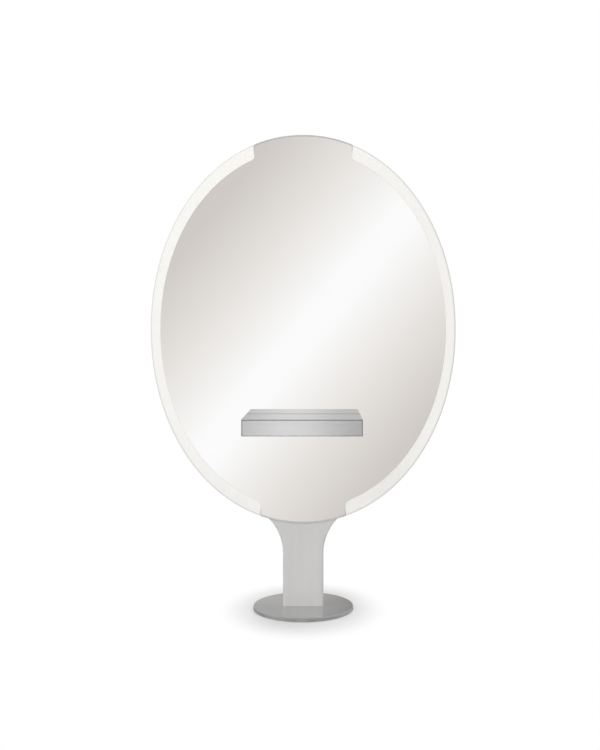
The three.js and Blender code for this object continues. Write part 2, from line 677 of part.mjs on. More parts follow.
// Drawer: a folded front on a tray that hangs between two runners
function drawer(side) {
  const inside = SHELF_WIDTH / 2 - SHEET;
  const front = SHELF_DEPTH;
  const panHalf = inside - DRAWER_GAP;
  const pan = { low: -SHELF_HEIGHT + SHEET + DRAWER_GAP, high: -SHEET - DRAWER_GAP };
  const tray = { half: inside - RUNNER_SPACE, back: TRAY_BACK, front: front - PAN_DEPTH - FIT };
  tray.low = -SHELF_HEIGHT + TRAY_UNDER;
  tray.high = -TRAY_TOP_GAP;
  const middle = (pan.low + pan.high) / 2;

  let panel = block(within(panHalf), away(front - PAN_DEPTH, front), [pan.low, pan.high]).subtract(
    block(within(panHalf - SHEET), away(0, front - SHEET), [pan.low + SHEET, pan.high - SHEET]),
  );
  for (const x of within(panHalf - BOSS_FROM_END)) {
    panel = panel.add(rod("y", BOSS, away(tray.front + FIT, front - SHEET / 2), [x, 0, middle]));
  }
  const box = block(within(tray.half), away(tray.back, tray.front), [tray.low, tray.high]).subtract(
    block(
      within(tray.half - TRAY_SHEET),
      away(tray.back + TRAY_SHEET, tray.front - TRAY_SHEET),
      [tray.low + TRAY_SHEET, 0],
    ),
  );

  const rail = { high: -RUNNER_BELOW_TOP, low: -RUNNER_BELOW_TOP - RUNNER_HEIGHT };
  const wall = inside - FIT;
  const length = away(RUNNER_BACK, front - PAN_DEPTH - RUNNER_FRONT_GAP);
  const channel = block([wall - RUNNER_FLANGE, wall], length, [rail.low, rail.high]).subtract(
    block(
      [0, wall - RUNNER_SHEET], within(FAR), [rail.low + RUNNER_SHEET, rail.high - RUNNER_SHEET],
    ),
  );
  const slide = block(
    [tray.half + FIT, wall - RUNNER_SHEET - FIT],
    away(tray.back, tray.front - FIT),
    [rail.low + RUNNER_SHEET + FIT, rail.high - RUNNER_SHEET - FIT],
  );
  return [
    piece(`drawer_front_${side}`, panel, "brushedSteel"),
    piece(`drawer_tray_${side}`, box, "zincSteel"),
    piece(`runner_fixed_${side}_right`, channel, "zincSteel"),
    piece(`runner_fixed_${side}_left`, mirrored(channel), "zincSteel"),
    piece(`runner_slide_${side}_right`, slide, "zincSteel"),
    piece(`runner_slide_${side}_left`, mirrored(slide), "zincSteel"),
  ];
}

// Light switch: a rocker in a housing that snaps into the floor of the shelf box, and its lead
function lightSwitch(side) {
  const half = SWITCH_HALF;
  const room = ROCKER_SPACE;
  const bezelTop = -FIT;
  const bezelFace = bezelTop - BEZEL;
  const pin = (diameter, reach) => rod("y", diameter, within(reach), [0, 0, 0], 16);
  const housing = block(within(half.x), within(half.y), [bezelTop - BEZEL / 2, SWITCH_HEIGHT])
    .add(block(within(half.x + BEZEL_RIM), within(half.y + BEZEL_RIM), [bezelFace, bezelTop]))
    .subtract(block(within(room.x), within(room.y), [bezelFace - BEZEL, ROCKER_DEPTH]))
    .subtract(pin(ROCKER_PIN + 2 * FIT, room.y + PIN_REACH + FIT));

  const tilt = (ROCKER_TILT * Math.PI) / 180;
  const valley = bezelFace + FIT;
  const lift = Math.tan(tilt) * (ROCKER_LENGTH / 2);
  const reach = ROCKER_LENGTH / 2;
  const root = ROCKER_DEPTH - ROCKER_ROOM - FIT;
  const outline = [
    [-reach, valley - lift], [0, valley], [reach, valley - lift],
    [reach, 0], [reach / 2, root], [-reach / 2, root], [-reach, 0],
  ];
  const rocker = acrossDepth(outlineShape(outline), within(ROCKER_WIDTH / 2))
    .add(pin(ROCKER_PIN, ROCKER_WIDTH / 2 + PIN_REACH));

  const rockerPiece = piece(`switch_rocker_${side}`, rocker, "blackPlastic");
  rockerPiece.rotation.y = tilt;
  const unit = group(piece(`switch_housing_${side}`, housing, "blackPlastic"), rockerPiece);
  unit.position.set(SWITCH_X, -SWITCH_OUT, -SHELF_HEIGHT);

  const start = -SHELF_HEIGHT + SWITCH_HEIGHT + FIT;
  const level = SWITCH_LEAD_Z - SHELF_TOP;
  const driverFace = GLASS_FRONT - HALF_DRIVER - FIT;
  const rise = level - start;
  const lead = wire(
    [
      [SWITCH_X, -SWITCH_OUT, start],
      [SWITCH_X, -SWITCH_OUT, start + rise / 3],
      [SWITCH_X, -SWITCH_OUT * 0.93, start + rise * 0.67],
      [SWITCH_X, -SWITCH_OUT * 0.67, level - rise * 0.06],
      [SWITCH_X, -SWITCH_OUT * 0.33, level],
      [SWITCH_X, 0, level],
      [SWITCH_X, driverFace, level],
    ],
    SWITCH_LEAD,
  );
  return [unit, piece(`switch_lead_${side}`, lead, "wire")];
}

const oval = group(frame(), edgeTrims(), lights(), power());
oval.position.z = OVAL_Z;
const station = group(foot(), pedestal(), oval);
station.name = "salon_station";

// Each face is the same, turned half round.
for (const side of ["front", "rear"]) {
  const faces = skins(side);
  faces.position.z = OVAL_Z;
  const shelf = group(...shelfCase(side), ...drawer(side), ...lightSwitch(side));
  shelf.position.set(0, -GLASS_FRONT, SHELF_TOP);
  const half = group(faces, shelf);
  half.rotation.z = side === "rear" ? Math.PI : 0;
  station.add(half);
}

export default station;
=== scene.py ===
# Looks of a double sided salon station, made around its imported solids. Metres, +Z up.
import itertools
import math

import bmesh
import bpy
from mathutils import Matrix, Vector


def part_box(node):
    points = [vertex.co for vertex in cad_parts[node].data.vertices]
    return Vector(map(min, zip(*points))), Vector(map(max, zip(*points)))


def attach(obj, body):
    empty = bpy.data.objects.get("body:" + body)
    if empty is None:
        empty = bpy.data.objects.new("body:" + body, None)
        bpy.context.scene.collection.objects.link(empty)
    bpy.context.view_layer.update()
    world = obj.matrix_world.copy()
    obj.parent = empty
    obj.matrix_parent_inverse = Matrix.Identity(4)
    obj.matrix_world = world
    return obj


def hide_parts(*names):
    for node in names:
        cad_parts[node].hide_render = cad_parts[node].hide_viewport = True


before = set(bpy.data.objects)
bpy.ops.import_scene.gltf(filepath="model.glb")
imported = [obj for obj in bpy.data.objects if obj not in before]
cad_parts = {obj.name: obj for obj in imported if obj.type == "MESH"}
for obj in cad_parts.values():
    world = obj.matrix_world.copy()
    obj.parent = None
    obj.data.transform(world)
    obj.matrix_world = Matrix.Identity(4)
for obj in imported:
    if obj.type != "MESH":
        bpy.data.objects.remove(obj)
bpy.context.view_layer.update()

scene = bpy.context.scene

# Camera, about level with the middle of the mirror and a little to its right
CAMERA_AT = (0.064, -4.068, 1.100)
CAMERA_LENS = 48.5
CAMERA_SHIFT = (-0.0256, -0.0533)


def make_camera():
    data = bpy.data.cameras.new("camera")
    data.lens = CAMERA_LENS
    data.shift_x, data.shift_y = CAMERA_SHIFT
    camera = bpy.data.objects.new("camera", data)
    camera.location = CAMERA_AT
    camera.rotation_euler = (math.pi / 2, 0, 0)
    scene.collection.objects.link(camera)
    scene.camera = camera


make_camera()
scene.view_settings.view_transform = "Standard"

# Sizes that the frame gives
TOP_OF_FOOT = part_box("base_cover")[1]
LENS_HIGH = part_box("light_lens_right")[1]
TRIM_TOP_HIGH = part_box("edge_trim_top")[1]
TRIM_BOTTOM_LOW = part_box("edge_trim_bottom")[0]
STEM_LOW, STEM_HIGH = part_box("stem_cover_front")
GLASS_LOW, GLASS_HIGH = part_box("mirror_front")
CASE_LOW, CASE_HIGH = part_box("shelf_case_front")
PAN_LOW, PAN_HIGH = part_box("drawer_front_front")
POST_LOW, POST_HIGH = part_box("post_tube")
HOUSING_LOW, HOUSING_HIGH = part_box("switch_housing_front")
BOLT_LOW, BOLT_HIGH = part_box("shelf_bolt_front_right")
LEAD_LOW, LEAD_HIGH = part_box("switch_lead_front")

# The oval and its light bands
FIT = 0.0003  # between pieces that seat on one another
OVAL_Z = (TRIM_TOP_HIGH.z + TRIM_BOTTOM_LOW.z) / 2
OVAL = (LENS_HIGH.x, (TRIM_TOP_HIGH.z - TRIM_BOTTOM_LOW.z) / 2)  # half width and half height
OVAL_FULLNESS = 2.04  # 2 is a true ellipse, more is fuller at the shoulders
HALF_BODY = LENS_HIGH.y
GLASS_BACK = -GLASS_HIGH.y
LIGHT_WIDTHS = (0.040, 0.057)  # at the side, and where the inner oval crosses the top
LIGHT_OVAL = (OVAL[0] - LIGHT_WIDTHS[0], OVAL[1] - LIGHT_WIDTHS[1])
LIGHT_END_TOP = 0.195  # from the middle of the oval to the upper ends
LIGHT_END_BOTTOM = 0.168
LIGHT_CORNERS = (0.016, 0.030)  # upper and lower
SEAM = 0.00005  # between the mirror and what frames it
LENS_WALL = 0.003
LENS_LIP = 0.008  # solid strip along the inner edge
LENS_ROUND = 0.009
LENS_ROUND_STEPS = 7
TRIM_ROUND = 0.002
TRIM_EDGE = 0.0005  # broken edge next to the mirror
TRIM_FACE = 0.006  # metal edge that shows above and below the mirror
TRIM_WEB = 0.003  # thickness of its outer wall
CUT_PAST_ENDS = 1.02  # how much longer than the trim its cutter is
ARRIS = 0.0002  # broken edge of the glass and of the lens's inner line
ARRIS_STEPS = 2

# How finely curves are drawn
OVAL_STEPS = 180
BAND_STEPS = 120
CORNER_STEPS = 10
ROUND_STEPS = 4
FOOT_STEPS = 160
FOOT_ROUND_STEPS = 6
STEM_ROWS = 28
STEM_FRONT_COLUMNS = 4  # on each half of a cover
ROD_SIDES = 32
SMOOTH_ANGLE = 32  # degrees, past which an edge stays sharp
HALVINGS = 50  # of a range, to find where two curves meet
MITER_LIMIT = 0.5  # lets a corner move in by twice the offset at most
TINY = 1e-9  # keeps a division from failing

# The pedestal
STEM_HALF_WIDTH = 0.079
STEM_SHEET = 0.002
STEM_CORNER = 0.007
FLARE_DROP = 0.122  # from the lowest point of the oval to the straight sides
FLARE_START = TRIM_BOTTOM_LOW.z - FLARE_DROP
FLARE_RADIUS = 0.200
FLARE_REACH = 0.8  # of the radius, further than the flare ever rises
FOOT_SHEET = 0.0025
FOOT_ROUND = 0.003

# The shelf boxes
SHEET = 0.002
SHEET_BEND = 0.0010  # outer radius of a fold
FINGER_REACH = 0.035  # from the front of the box to the far side of the slot in its floor
BOLT_RADIUS = 0.004  # of the shank
LEAD_ROOM = 0.0015  # around a wire in its hole
BEZEL_RIM = 0.002  # of the switch, on the floor of the box
BOSS_RADIUS = 0.005
BOSS_FROM_END = 0.0735
DRAWER_DROP = 0.0006  # how far a drawer front hangs below the middle of its opening
# A bead at the joint of each shelf box and its mirror, dark grey as painted shade.
SHADE_BEAD_PROUD = 0.0008
SHADE_BEAD_WIDTH = 0.0025
SHADE_BEAD_STEPS = 3


# Nodes and materials
class Finish:
    """A procedural material: short ways to add the nodes that feed its main shader."""

    def __init__(self, name, **sockets):
        self.material = bpy.data.materials.new(name)
        self.material.use_nodes = True
        self.tree = self.material.node_tree
        self.shader = self.tree.nodes["Principled BSDF"]
        for socket, value in sockets.items():
            self.shader.inputs[socket.replace("_", " ")].default_value = value

    def add(self, kind, **settings):
        node = self.tree.nodes.new("ShaderNode" + kind)
        for setting, value in settings.items():
            setattr(node, setting, value)
        return node

    def link(self, output, node, socket):
        self.tree.links.new(output, node.inputs[socket])

    def place(self, stretch=(1, 1, 1)):
        """Coordinates on the piece in metres, scaled along each axis."""
        mapping = self.add("Mapping")
        mapping.inputs["Scale"].default_value = stretch
        self.link(self.add("TexCoord").outputs["Object"], mapping, "Vector")
        return mapping.outputs["Vector"]

    def noise(self, scale, stretch=(1, 1, 1), detail=3.0, roughness=0.5, distortion=0.0):
        node = self.add("TexNoise")
        settings = {"Scale": scale, "Detail": detail, "Roughness": roughness, "Distortion": distortion}
        for socket, value in settings.items():
            node.inputs[socket].default_value = value
        self.link(self.place(stretch), node, "Vector")
        return node.outputs["Fac"]

    def cells(self, scale, output="Distance"):
        node = self.add("TexVoronoi")
        node.inputs["Scale"].default_value = scale
        self.link(self.place(), node, "Vector")
        return node.outputs[output]

    def specks(self, scale):
        """A grey of its own for each cell."""
        grey = self.add("RGBToBW")
        self.link(self.cells(scale, "Color"), grey, "Color")
        return grey.outputs["Val"]

    def reach(self, stretch):
        """The distance from the origin, with each axis scaled."""
        node = self.add("VectorMath", operation="LENGTH")
        self.link(self.place(stretch), node, 0)
        return node.outputs["Value"]

    def math(self, operation, first, second=0.0):
        """One operation on outputs or numbers."""
        node = self.add("Math", operation=operation)
        for socket, value in enumerate((first, second)):
            if isinstance(value, (int, float)):
                node.inputs[socket].default_value = value
            else:
                self.link(value, node, socket)
        return node.outputs[0]

    def ramp(self, factor, *stops):
        """A colour or grey for each position of a factor."""
        node = self.add("ValToRGB")
        stops_of = node.color_ramp.elements
        while len(stops_of) < len(stops):
            stops_of.new(1.0)
        for element, (position, value) in zip(stops_of, stops):
            element.position = position
            element.color = (*value, 1) if isinstance(value, tuple) else (value, value, value, 1)
        self.link(factor, node, "Fac")
        return node.outputs["Color"]

    def colour(self, factor, *stops):
        self.link(self.ramp(factor, *stops), self.shader, "Base Color")

    def gloss(self, factor, low, high):
        """Roughness between two values."""
        node = self.add("MapRange")
        node.inputs["To Min"].default_value = low
        node.inputs["To Max"].default_value = high
        self.link(factor, node, "Value")
        self.link(node.outputs["Result"], self.shader, "Roughness")

    def step(self, value, start, stop):
        """A smooth step from 0 to 1."""
        node = self.add("MapRange", interpolation_type="SMOOTHSTEP")
        node.inputs["From Min"].default_value = start
        node.inputs["From Max"].default_value = stop
        self.link(value, node, "Value")
        return node.outputs["Result"]

    def bump(self, height, distance):
        node = self.add("Bump")
        node.inputs["Distance"].default_value = distance
        self.link(height, node, "Height")
        self.link(node.outputs["Normal"], self.shader, "Normal")


def silvered_mirror():
    made = Finish("silvered_mirror", Metallic=1.0)
    smears = made.noise(9, (1, 1, 0.4), detail=5, distortion=1.2)
    mixed = made.math("ADD", made.noise(2.5), made.math("MULTIPLY", smears, 0.3))
    made.colour(mixed, (0.4, (0.955, 0.962, 0.958)), (0.9, (0.968, 0.972, 0.968)))
    made.gloss(smears, 0.0, 0.002)
    return made.material


def ground_glass_edge():
    made = Finish("ground_glass_edge", IOR=1.52)
    made.colour(made.noise(60), (0.3, (0.50, 0.58, 0.55)), (0.7, (0.62, 0.70, 0.67)))
    made.gloss(made.noise(400), 0.18, 0.34)
    made.bump(made.noise(1500), 0.00008)
    return made.material


def opal_acrylic():
    """Milky lens, lit from behind: its broad faces glow more than its side, and its bent edge is painted
    greyer as shade.
    """
    made = Finish("opal_acrylic", IOR=1.49)
    made.shader.inputs["Emission Color"].default_value = (1.0, 0.985, 0.955, 1)
    outwards = made.add("SeparateXYZ")
    made.link(made.add("NewGeometry").outputs["True Normal"], outwards, "Vector")
    faced = made.math("ABSOLUTE", outwards.outputs["Y"])
    cloud_and_edge_shade = made.math("ADD", faced, made.math("MULTIPLY", made.noise(3), 0.04))
    # Painted shade: the colour is darker on the bent edge between the faces, set by which way a face
    # points, with a faint cloud.
    made.colour(
        cloud_and_edge_shade, (0.05, (0.755, 0.747, 0.717)), (0.35, (0.61, 0.603, 0.58)), (0.90, (0.64, 0.633, 0.61)),
        (0.985, (0.745, 0.737, 0.708)), (1.0, (0.790, 0.782, 0.752)),
    )
    made.gloss(made.noise(120), 0.30, 0.42)
    patches = made.math("ADD", made.math("MULTIPLY", made.noise(14, detail=1), 0.25), 0.875)
    glow = made.add("MapRange")
    glow.inputs["To Min"].default_value = 0.0
    glow.inputs["To Max"].default_value = 0.165
    made.link(made.math("MULTIPLY", faced, patches), glow, "Value")
    made.link(glow.outputs["Result"], made.shader, "Emission Strength")
    made.bump(made.noise(90, detail=1), 0.00001)
    return made.material


def brushed_steel(name, along, around):
    """Stainless sheet with fine lines along one axis, longer streaks and a few handling marks."""
    made = Finish(name, Metallic=1.0, Anisotropic=0.95, Anisotropic_Rotation=0.25)
    made.link(made.add("Tangent", direction_type="RADIAL", axis=around).outputs[0], made.shader, "Tangent")
    fine = tuple(6 if axis == along else 900 for axis in "xyz")
    broad = tuple(1.2 if axis == along else 110 for axis in "xyz")
    lines = made.noise(1, fine, detail=4, roughness=0.6)
    streaks = made.noise(1, broad, detail=3)
    mixed = made.math("MULTIPLY", made.math("ADD", lines, streaks), 0.5)
    made.colour(mixed, (0.30, (0.514, 0.517, 0.524)), (0.70, (0.564, 0.567, 0.574)))
    marks = made.noise(14, detail=4, distortion=0.8)
    made.gloss(made.math("MULTIPLY", made.math("ADD", lines, marks), 0.5), 0.14, 0.28)
    made.bump(lines, 0.00003)
    return made.material


def polished_steel():
    """The foot's cover: turned and polished, with faint rings around its middle."""
    made = Finish("polished_steel", Metallic=1.0)
    rings = made.add("TexNoise", noise_dimensions="1D")
    rings.inputs["Scale"].default_value = 700
    made.link(made.reach((1, 1, 0)), rings, "W")
    clouds = made.noise(5, detail=4)
    mixed = made.math("ADD", made.math("MULTIPLY", rings.outputs["Fac"], 0.3), clouds)
    made.colour(mixed, (0.4, (0.652, 0.652, 0.650)), (0.9, (0.702, 0.702, 0.700)))
    made.gloss(mixed, 0.05, 0.13)
    made.bump(rings.outputs["Fac"], 0.000006)
    return made.material


def painted_shade_rim():
    """The foot's rim, left as it came off the lathe, its colour painted darker than the top as shade and
    dark reflection.
    """
    made = Finish("painted_shade_rim", Metallic=1.0)
    grooves = made.noise(1, (5, 5, 1800), detail=3)
    # Painted shade: a darker grey than the polished top, so the rim looks shaded.
    made.colour(grooves, (0.3, (0.375, 0.375, 0.38)), (0.7, (0.495, 0.495, 0.50)))
    made.gloss(grooves, 0.28, 0.45)
    made.bump(grooves, 0.00004)
    return made.material


def silver_lacquer():
    """Smooth silver stove enamel over folded steel."""
    made = Finish("silver_lacquer", IOR=1.3)
    drift = made.noise(1, (26, 26, 2), detail=1)
    mixed = made.math("ADD", made.math("MULTIPLY", made.specks(5200), 0.25), drift)
    made.colour(mixed, (0.35, (0.620, 0.615, 0.603)), (0.85, (0.655, 0.650, 0.638)))
    made.gloss(made.noise(35, detail=4), 0.15, 0.22)
    made.bump(made.noise(260, detail=1), 0.000012)
    return made.material


def satin_edge_metal():
    made = Finish("satin_edge_metal", Metallic=1.0)
    grain = made.noise(1, (60, 1200, 60), detail=4)
    made.colour(grain, (0.3, (0.63, 0.63, 0.62)), (0.7, (0.73, 0.73, 0.72)))
    made.gloss(grain, 0.26, 0.38)
    made.bump(grain, 0.00003)
    return made.material


def zinc_plate():
    made = Finish("zinc_plate", Metallic=1.0)
    made.colour(made.specks(160), (0.1, (0.52, 0.535, 0.545)), (0.9, (0.66, 0.67, 0.675)))
    made.gloss(made.noise(90, detail=4), 0.26, 0.46)
    made.bump(made.noise(700), 0.00003)
    return made.material


def powder_coat():
    made = Finish("powder_coat")
    speckle = made.noise(900, detail=2)
    made.colour(speckle, (0.35, (0.075, 0.079, 0.082)), (0.65, (0.105, 0.110, 0.114)))
    made.gloss(made.noise(25), 0.48, 0.66)
    made.bump(speckle, 0.00012)
    return made.material


def hardboard():
    made = Finish("hardboard")
    fibres = made.noise(1, (320, 900, 320), detail=6, roughness=0.7, distortion=0.6)
    made.colour(fibres, (0.25, (0.17, 0.098, 0.048)), (0.75, (0.34, 0.215, 0.115)))
    made.gloss(fibres, 0.72, 0.92)
    made.bump(fibres, 0.00018)
    return made.material


def lamp_strip():
    made = Finish("lamp_strip")
    pads = made.cells(70)
    made.colour(pads, (0.12, (0.86, 0.74, 0.36)), (0.2, (0.86, 0.86, 0.83)), (1.0, (0.9, 0.9, 0.87)))
    made.gloss(made.noise(200), 0.30, 0.5)
    made.bump(made.noise(800), 0.00005)
    return made.material


def moulded_plastic(name, low, high, smooth, rough):
    made = Finish(name, IOR=1.5)
    grain = made.cells(1900)
    made.colour(made.noise(18, detail=4), (0.3, low), (0.7, high))
    made.gloss(made.noise(60, detail=4), smooth, rough)
    made.bump(grain, 0.00006)
    return made.material


FINISHES = {
    "mirror": silvered_mirror(),
    "glass_edge": ground_glass_edge(),
    "opal": opal_acrylic(),
    "brushed_steel": brushed_steel("brushed_steel", "x", "Z"),
    "brushed_steel_top": brushed_steel("brushed_steel_top", "x", "Y"),
    "brushed_steel_side": brushed_steel("brushed_steel_side", "y", "Z"),
    "polished_steel": polished_steel(),
    # The rim's darker grey is painted shade.
    "rim": painted_shade_rim(),
    "stem_lacquer": silver_lacquer(),
    "edge_metal": satin_edge_metal(),
    "zinc_steel": zinc_plate(),
    "frame_steel": powder_coat(),
    "fibreboard": hardboard(),
    "circuit": lamp_strip(),
    "white_plastic": moulded_plastic(
        "white_plastic", low=(0.74, 0.74, 0.72), high=(0.80, 0.80, 0.78), smooth=0.34, rough=0.5
    ),
    "black_plastic": moulded_plastic(
        "black_plastic", low=(0.012, 0.012, 0.013), high=(0.02, 0.02, 0.022), smooth=0.26, rough=0.4
    ),
    # Painted shade: the bead's dark grey stands for the shade along the joint.
    "bead_shade": moulded_plastic(
        "grey_shade_bead", low=(0.20, 0.20, 0.202), high=(0.26, 0.26, 0.262), smooth=0.4, rough=0.55
    ),
    "wire": moulded_plastic(
        "wire_sleeve", low=(0.62, 0.62, 0.60), high=(0.70, 0.70, 0.68), smooth=0.38, rough=0.52
    ),
}


# Outlines in X and Z around the middle of the oval
def inset(oval, amount):
    return (oval[0] - amount, oval[1] - amount)


def signed_power(value, power):
    return math.copysign(abs(value) ** power, value)


def oval_point(oval, angle):
    power = 2 / OVAL_FULLNESS
    return (oval[0] * signed_power(math.cos(angle), power), oval[1] * signed_power(math.sin(angle), power))


def oval_normal(oval, point):
    slope = [signed_power(at / half, OVAL_FULLNESS - 1) / half for at, half in zip(point, oval)]
    size = math.hypot(*slope)
    return (slope[0] / size, slope[1] / size)


def oval_angle(oval, x):
    """The angle of the oval's upper point at a distance from its upright axis."""
    return math.acos((x / oval[0]) ** (OVAL_FULLNESS / 2))


def oval_drop(oval, x):
    """How far below its middle the oval lies at a distance from its upright axis."""
    return oval[1] * (1 - abs(x / oval[0]) ** OVAL_FULLNESS) ** (1 / OVAL_FULLNESS)


def spread(start, stop, steps):
    return [start + (stop - start) * i / steps for i in range(steps + 1)]


def oval_arc(oval, start, stop, steps):
    return [oval_point(oval, angle) for angle in spread(start, stop, steps)]


def corner_arc(oval, line, radius):
    """The arc between an oval and an upright line on its right, and where it leaves the oval."""

    def middle(angle):
        point = oval_point(oval, angle)
        normal = oval_normal(oval, point)
        return (point[0] + radius * normal[0], point[1] + radius * normal[1])

    low, high = 0.0, math.pi / 2
    for _ in range(HALVINGS):
        angle = (low + high) / 2
        if middle(angle)[0] > line + radius:
            low = angle
        else:
            high = angle
    x, z = middle(low)
    touch = oval_point(oval, low)
    start = math.atan2(touch[1] - z, touch[0] - x) + 2 * math.pi
    turns = spread(start, math.pi, CORNER_STEPS)
    return [(x + radius * math.cos(turn), z + radius * math.sin(turn)) for turn in turns], low


def inner_side(oval, top, bottom, corners):
    """The right hand line between mirror and light band, from the bottom to the top."""
    upper, upper_angle = corner_arc(oval, top, corners[0])
    lower, lower_angle = corner_arc(oval, bottom, corners[1])
    below = [(x, -z) for x, z in reversed(lower)]
    return below[:-1] + oval_arc(oval, -lower_angle, upper_angle, BAND_STEPS) + upper[1:]


def band_outline(outer, inner, top, bottom, corners):
    """A light band on the right: the outer oval down, then the inner line up."""
    outer_side = oval_arc(outer, oval_angle(outer, top), -oval_angle(outer, bottom), BAND_STEPS)
    return outer_side, inner_side(inner, top, bottom, corners)


def glass_outline():
    """The mirror: between the light bands at its sides and the trims above and below."""
    ends = (LIGHT_END_TOP - SEAM, LIGHT_END_BOTTOM - SEAM)
    right = inner_side(inset(LIGHT_OVAL, SEAM), *ends, [corner + SEAM for corner in LIGHT_CORNERS])
    left = [(-x, z) for x, z in reversed(right)]
    edge = inset(OVAL, TRIM_FACE + SEAM)
    top, bottom = (oval_angle(edge, end) for end in ends)
    over = oval_arc(edge, top, math.pi - top, OVAL_STEPS // 4)
    under = oval_arc(edge, math.pi + bottom, 2 * math.pi - bottom, OVAL_STEPS // 4)
    return right + over + left + under


# Meshes
def new_piece(name, bm, *finishes):
    mesh = bpy.data.meshes.new(name)
    bmesh.ops.recalc_face_normals(bm, faces=bm.faces)
    bm.to_mesh(mesh)
    bm.free()
    for finish in finishes:
        mesh.materials.append(FINISHES[finish])
    made = bpy.data.objects.new(name, mesh)
    scene.collection.objects.link(made)
    return made


def shade(piece):
    """Smooth faces with sharp edges past an angle, and normals that keep flat faces flat."""
    mesh = piece.data
    mesh.polygons.foreach_set("use_smooth", [True] * len(mesh.polygons))
    mesh.set_sharp_from_angle(angle=math.radians(SMOOTH_ANGLE))
    weighted = piece.modifiers.new("flat faces", "WEIGHTED_NORMAL")
    weighted.keep_sharp = True


def turned_in(outline, reach):
    """Each point of a closed outline moved inwards by its own reach."""
    count = len(outline)
    area = sum(
        outline[i][0] * outline[(i + 1) % count][1] - outline[(i + 1) % count][0] * outline[i][1]
        for i in range(count)
    )
    side = 1 if area > 0 else -1
    moved = []
    for i, (x, z) in enumerate(outline):
        before, after = Vector(outline[i - 1]), Vector(outline[(i + 1) % count])
        here = Vector((x, z))
        first, second = (here - before).normalized(), (after - here).normalized()
        along = (first + second).normalized()
        across = Vector((-along.y, along.x)) * side
        miter = max(MITER_LIMIT, abs(along.dot(second)))
        moved.append((x + across.x * reach[i] / miter, z + across.y * reach[i] / miter))
    return moved


def plate(name, outline, front, back, rounds, face_finish, edge_finish, steps=ROUND_STEPS):
    """A plate with the given outline in X and Z, from front to back in Y, with its own edge rounding."""
    rings = []
    for face, step in ((front, 1), (back, -1)):
        ring_set = []
        for turn in spread(0, math.pi / 2, steps):
            moved = turned_in(outline, [r * (1 - math.sin(turn)) for r in rounds])
            lift = [r * (1 - math.cos(turn)) * step for r in rounds]
            ring_set.append([(x, face + y, OVAL_Z + z) for (x, z), y in zip(moved, lift)])
        rings.append(ring_set)
    bm = bmesh.new()
    loops = [[bm.verts.new(at) for at in ring] for ring in rings[0] + rings[1][::-1]]
    bm.faces.new(loops[0])
    bm.faces.new(loops[-1])
    for upper, lower in zip(loops, loops[1:]):
        for i in range(len(upper)):
            side = bm.faces.new((upper[i - 1], upper[i], lower[i], lower[i - 1]))
            side.material_index = 0 if face_finish == edge_finish else 1
    finishes = [face_finish] if face_finish == edge_finish else [face_finish, edge_finish]
    return new_piece(name, bm, *finishes)


# The corners of each face of a block
BAR_FACES = ((0, 1, 3, 2), (4, 6, 7, 5), (0, 4, 5, 1), (2, 3, 7, 6), (0, 2, 6, 4), (1, 5, 7, 3))


def bar(name, low, high, finish, bend=0.0, steps=ROUND_STEPS):
    """A block between two corners, with its edges rounded."""
    bm = bmesh.new()
    corners = [bm.verts.new(at) for at in itertools.product(*zip(low, high))]
    for face in BAR_FACES:
        bm.faces.new([corners[i] for i in face])
    if bend:
        bmesh.ops.bevel(bm, geom=bm.edges[:], offset=bend, segments=steps, profile=0.5, affect="EDGES")
    return new_piece(name, bm, finish)


def post_rod(name, radius, middle, front, back, finish):
    """A round bar along Y."""
    bm = bmesh.new()
    turns = [2 * math.pi * i / ROD_SIDES for i in range(ROD_SIDES)]
    circle = [(middle[0] + radius * math.cos(turn), middle[1] + radius * math.sin(turn)) for turn in turns]
    rings = [[bm.verts.new((x, y, z)) for x, z in circle] for y in (front, back)]
    bm.faces.new(rings[0])
    bm.faces.new(rings[1])
    for i in range(ROD_SIDES):
        bm.faces.new((rings[0][i - 1], rings[0][i], rings[1][i], rings[1][i - 1]))
    return new_piece(name, bm, finish)


def carve(piece, operation, *others):
    """Cuts other pieces out of a piece, or joins them to it, and removes them."""
    for other in others:
        step = piece.modifiers.new("carve", "BOOLEAN")
        step.operation = operation
        step.solver = "EXACT"
        step.object = other
    carved = bpy.data.meshes.new_from_object(piece.evaluated_get(bpy.context.evaluated_depsgraph_get()))
    piece.modifiers.clear()
    old = piece.data
    carved.name = old.name
    piece.data = carved
    bpy.data.meshes.remove(old)
    for other in others:
        bpy.data.objects.remove(other)
    return piece


def copy_of(piece, name, matrix):
    """The same piece turned or mirrored to another place."""
    mesh = piece.data.copy()
    mesh.transform(matrix)
    if matrix.determinant() < 0:
        mesh.flip_normals()
    mesh.name = name
    made = piece.copy()
    made.name = name
    made.data = mesh
    scene.collection.objects.link(made)
    return made


def through_holes(bolt_hole, front, back, finish):
    """Cutters for the holes of the two shelf bolts and of the switch lead, along Y."""
    bolt_x, bolt_z = (BOLT_LOW.x + BOLT_HIGH.x) / 2, (BOLT_LOW.z + BOLT_HIGH.z) / 2
    lead_radius = (LEAD_HIGH.x - LEAD_LOW.x) / 2
    lead = ((LEAD_LOW.x + LEAD_HIGH.x) / 2, LEAD_HIGH.z - lead_radius)
    places = (
        ((bolt_x, bolt_z), bolt_hole),
        ((-bolt_x, bolt_z), bolt_hole),
        (lead, lead_radius + LEAD_ROOM),
    )
    return [post_rod("hole", radius, middle, front, back, finish) for middle, radius in places]


# Pieces of the oval body
def mirror_glass(name):
    """Silvered glass, drilled as wide as the heads of the shelf bolts."""
    outline = glass_outline()
    rounds = [ARRIS] * len(outline)
    glass = plate(name, outline, GLASS_LOW.y, GLASS_HIGH.y, rounds, "mirror", "glass_edge", ARRIS_STEPS)
    bolt_head = (BOLT_HIGH.x - BOLT_LOW.x) / 2
    holes = through_holes(bolt_head, GLASS_LOW.y - HALF_BODY, 0, "glass_edge")
    return carve(glass, "DIFFERENCE", *holes)


def prism(outline, half_depth):
    """A plain solid for cutting, through the middle of the body."""
    rounds = [0.0] * len(outline)
    return plate("cutter", outline, -half_depth, half_depth, rounds, "opal", "opal", steps=1)


